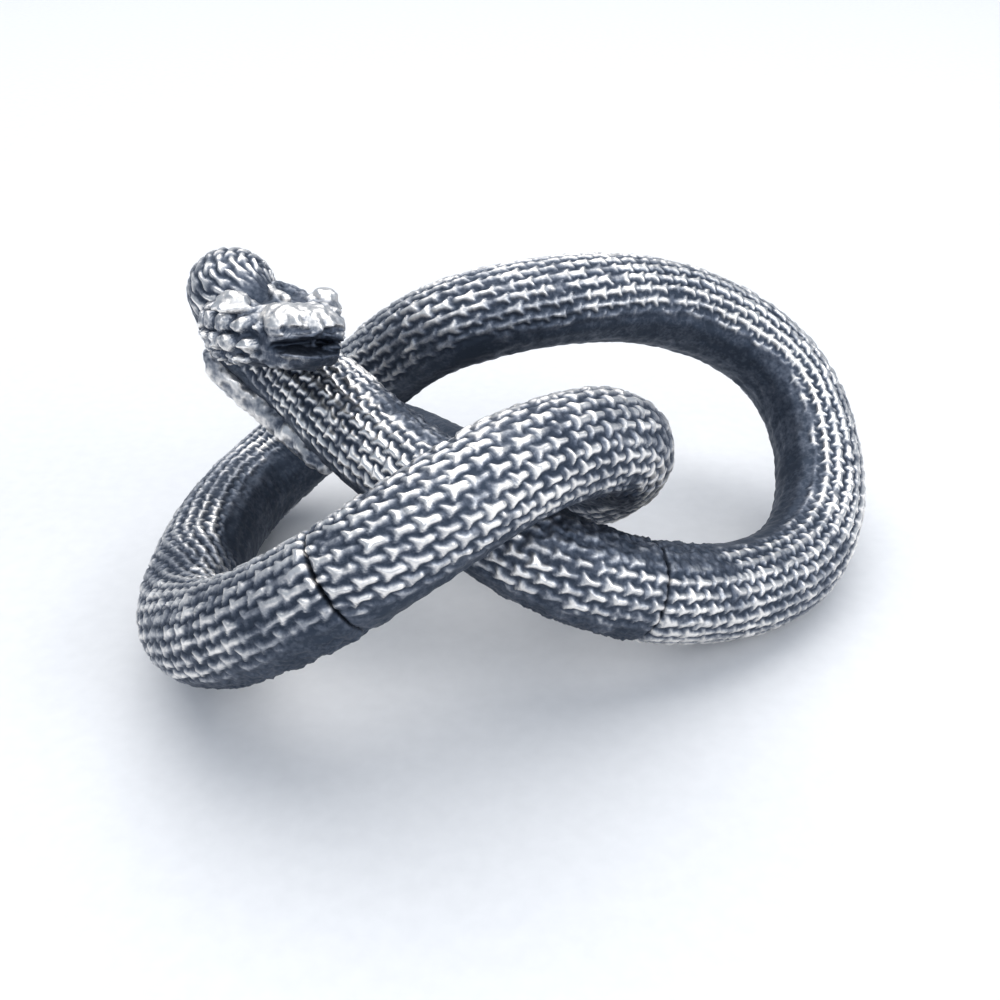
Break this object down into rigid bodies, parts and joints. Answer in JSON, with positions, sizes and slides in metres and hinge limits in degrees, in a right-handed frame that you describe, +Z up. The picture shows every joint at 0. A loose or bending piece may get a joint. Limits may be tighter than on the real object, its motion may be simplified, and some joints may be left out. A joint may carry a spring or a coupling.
{
  "type": "snake puzzle",
  "caption": "Scaly cast metal snake tied in a loose knot, in sections that twist against each other on hidden swivels, with the head resting on its own neck.",
  "frame": {"origin": "middle of the footprint, on the table the snake rests on", "axes": "+X to the viewer's right along the snake's length with the head at the left, +Y away from the viewer towards the arch at the back, +Z up"},
  "size_m": [0.054, 0.0494, 0.0259],
  "materials": {
    "head_casting": "cast white metal, blackened in the recesses and rubbed bright on the high points",
    "middle_casting": "cast white metal, blackened in the recesses and rubbed bright on the high points",
    "tail_casting": "cast white metal, blackened in the recesses and rubbed bright on the high points",
    "head_swivel_pin": "plain ground steel",
    "head_swivel_friction_ring": "matt black rubber",
    "head_swivel_key": "plain ground steel",
    "tail_swivel_pin": "plain ground steel",
    "tail_swivel_friction_ring": "matt black rubber",
    "tail_swivel_key": "plain ground steel"
  },
  "bodies": {
    "middle": {"middle_casting": "middle_casting", "head_swivel_pin": "head_swivel_pin", "tail_swivel_pin": "tail_swivel_pin", "head_swivel_friction_ring": "head_swivel_friction_ring", "tail_swivel_friction_ring": "tail_swivel_friction_ring"},
    "head": {"head_casting": "head_casting", "head_swivel_key": "head_swivel_key"},
    "tail": {"tail_casting": "tail_casting", "tail_swivel_key": "tail_swivel_key"}
  },
  "joints": [
    {"name": "head_twist", "type": "hinge", "parent": "middle", "child": "head", "pos_m": [0.00728, -0.01231, 0.00753], "axis": [0.8511, 0.3369, -0.4027], "range_deg": [-16, 3]},
    {"name": "tail_twist", "type": "hinge", "parent": "middle", "child": "tail", "pos_m": [-0.01084, -0.02122, 0.01446], "axis": [0.8376, 0.071, 0.5416], "range_deg": [-5, 7]}
  ]
}
